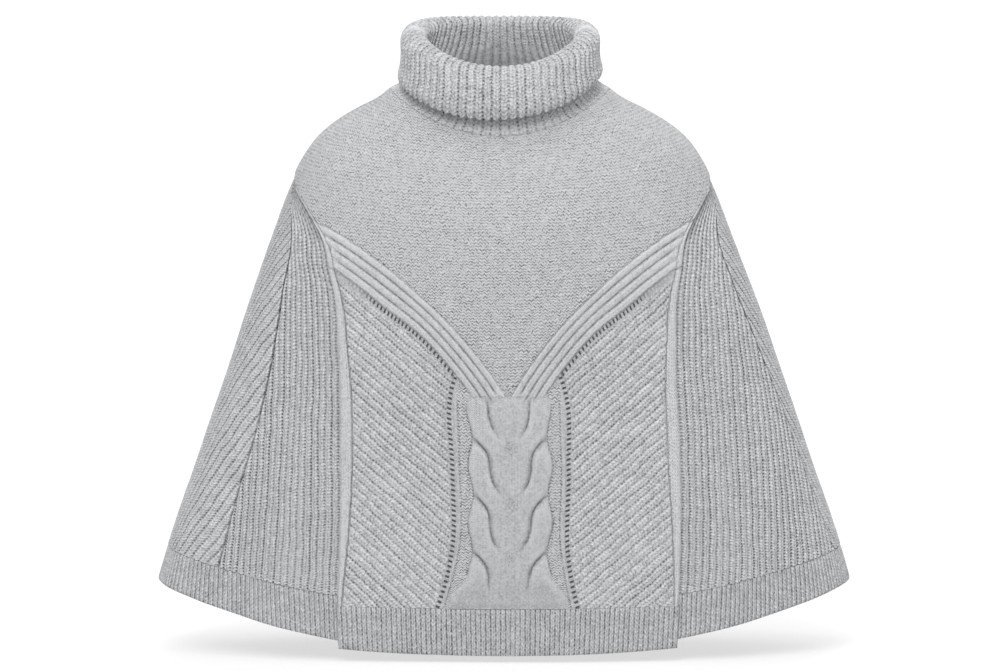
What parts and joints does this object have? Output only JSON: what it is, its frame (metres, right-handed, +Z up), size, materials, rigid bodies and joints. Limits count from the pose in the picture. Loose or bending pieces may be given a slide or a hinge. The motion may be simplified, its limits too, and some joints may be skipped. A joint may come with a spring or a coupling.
{
  "type": "knitted poncho sweater",
  "caption": "Chunky knitted poncho sweater with a folded roll neck, cabled front panel, ribbed wings and ribbed hems, shaped as worn.",
  "frame": {"origin": "middle of the neckline, where the wearer's neck and shoulders carry the poncho", "axes": "+X towards the right of the picture, +Z up, and the front faces -Y"},
  "size_m": [0.8288, 0.3273, 0.7444],
  "materials": {
    "wool": "matte heathered pale grey wool knit"
  },
  "bodies": {
    "root": {"front_panel": "wool", "back_panel": "wool", "wing_front_left": "wool", "wing_back_left": "wool", "wing_front_right": "wool", "wing_back_right": "wool", "collar": "wool", "front_hem": "wool", "back_hem": "wool", "left_wing_hem": "wool", "right_wing_hem": "wool"}
  },
  "joints": []
}
